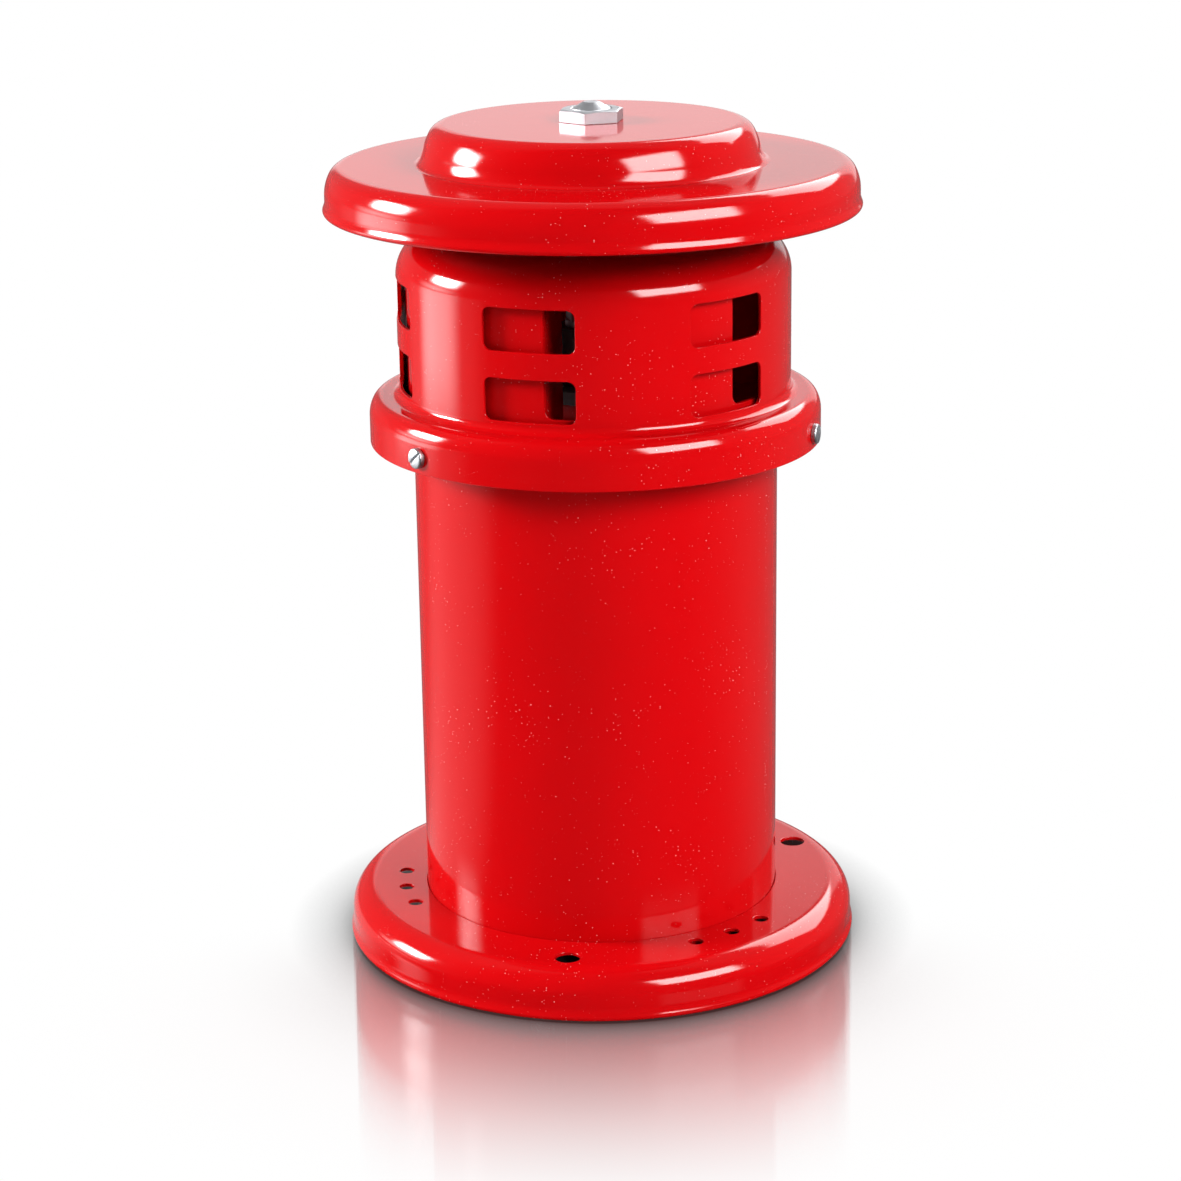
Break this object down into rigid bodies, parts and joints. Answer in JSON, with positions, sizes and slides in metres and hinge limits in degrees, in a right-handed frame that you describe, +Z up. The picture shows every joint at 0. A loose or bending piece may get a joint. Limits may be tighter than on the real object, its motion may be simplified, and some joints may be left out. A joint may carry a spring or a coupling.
{
  "type": "motor siren",
  "caption": "Upright motor-driven alarm siren: flanged base, motor tube, slotted chopper drum with a ported rotor inside, and a round rain cap held by a hex nut.",
  "frame": {"origin": "on the siren's axis, at the underside of the base's lip", "axes": "+Z up along the motor shaft, -Y towards a column of windows, +X to the right seen from there"},
  "size_m": [0.1668, 0.1668, 0.268],
  "materials": {
    "red_enamel": "high-gloss red enamel over pressed steel",
    "cast_aluminium": "as-cast, dull",
    "zinc_steel": "bright zinc plate",
    "bare_steel": "oiled, turned",
    "bearing_steel": "ground and polished",
    "lamination": "stacked sheet edges, dark",
    "coil_varnish": "enamelled copper wire under amber varnish",
    "commutator_copper": "turned copper",
    "brass": "drawn, dull",
    "bakelite": "moulded, dark brown",
    "carbon": "pressed graphite",
    "black_rubber": "moulded",
    "lead_insulation": "soft insulation"
  },
  "bodies": {
    "siren_body": {"base_flange": "red_enamel", "motor_tube": "red_enamel", "lower_bracket": "cast_aluminium", "upper_bracket": "cast_aluminium", "through_bolts": "zinc_steel", "through_bolt_nuts": "zinc_steel", "core_sleeves": "bare_steel", "field_core": "lamination", "field_coils": "coil_varnish", "upper_bearing_outer": "bearing_steel", "lower_bearing_outer": "bearing_steel", "bearing_spring": "bare_steel", "brush_yoke": "bakelite", "yoke_posts": "brass", "yoke_screws": "zinc_steel", "brush_holders": "brass", "brush_spring_left": "bare_steel", "brush_spring_right": "bare_steel", "brush_caps": "bakelite", "terminal_block": "bakelite", "terminal_screws": "brass", "lead_grommets": "black_rubber", "lead_wires": "lead_insulation", "chopper_housing": "red_enamel", "collar_screws": "zinc_steel", "inlet_spider": "red_enamel", "spider_rivets": "zinc_steel", "stud_nut": "zinc_steel", "cap_stud": "zinc_steel", "cap_spacer": "zinc_steel", "rain_cap": "red_enamel", "cap_nut": "zinc_steel"},
    "rotor": {"motor_shaft": "bare_steel", "armature_core": "lamination", "armature_winding": "coil_varnish", "commutator_hub": "bakelite", "commutator_bars": "commutator_copper", "upper_bearing_inner": "bearing_steel", "lower_bearing_inner": "bearing_steel", "rotor_drum": "red_enamel", "rotor_vanes": "red_enamel", "rotor_hub": "cast_aluminium", "rotor_rivets": "zinc_steel", "rotor_key": "bare_steel", "rotor_washer": "zinc_steel", "rotor_nut": "zinc_steel"},
    "upper_ball_set": {"upper_bearing_balls": "bearing_steel", "upper_bearing_cage": "brass"},
    "lower_ball_set": {"lower_bearing_balls": "bearing_steel", "lower_bearing_cage": "brass"},
    "left_brush": {"brush_left": "carbon"},
    "right_brush": {"brush_right": "carbon"}
  },
  "joints": [
    {"name": "rotor_spin", "type": "hinge", "parent": "siren_body", "child": "rotor", "pos_m": [0, 0, 0.1615], "axis": [0, 0, 1], "continuous": true},
    {"name": "upper_balls_spin", "type": "hinge", "parent": "siren_body", "child": "upper_ball_set", "pos_m": [0, 0, 0.1615], "axis": [0, 0, 1], "continuous": true},
    {"name": "lower_balls_spin", "type": "hinge", "parent": "siren_body", "child": "lower_ball_set", "pos_m": [0, 0, 0.0248], "axis": [0, 0, 1], "continuous": true},
    {"name": "brush_left_slide", "type": "slide", "parent": "siren_body", "child": "left_brush", "axis": [-1, 0, 0], "range_m": [0, 0.005], "stiffness_N_per_m": 150, "springref_m": -0.01, "deforming": ["brush_spring_left"]},
    {"name": "brush_right_slide", "type": "slide", "parent": "siren_body", "child": "right_brush", "axis": [1, 0, 0], "range_m": [0, 0.005], "stiffness_N_per_m": 150, "springref_m": -0.01, "deforming": ["brush_spring_right"]}
  ],
  "couplings": [
    {"joint": "upper_balls_spin", "follows": "rotor_spin", "ratio": 0.3682},
    {"joint": "lower_balls_spin", "follows": "rotor_spin", "ratio": 0.3722}
  ]
}
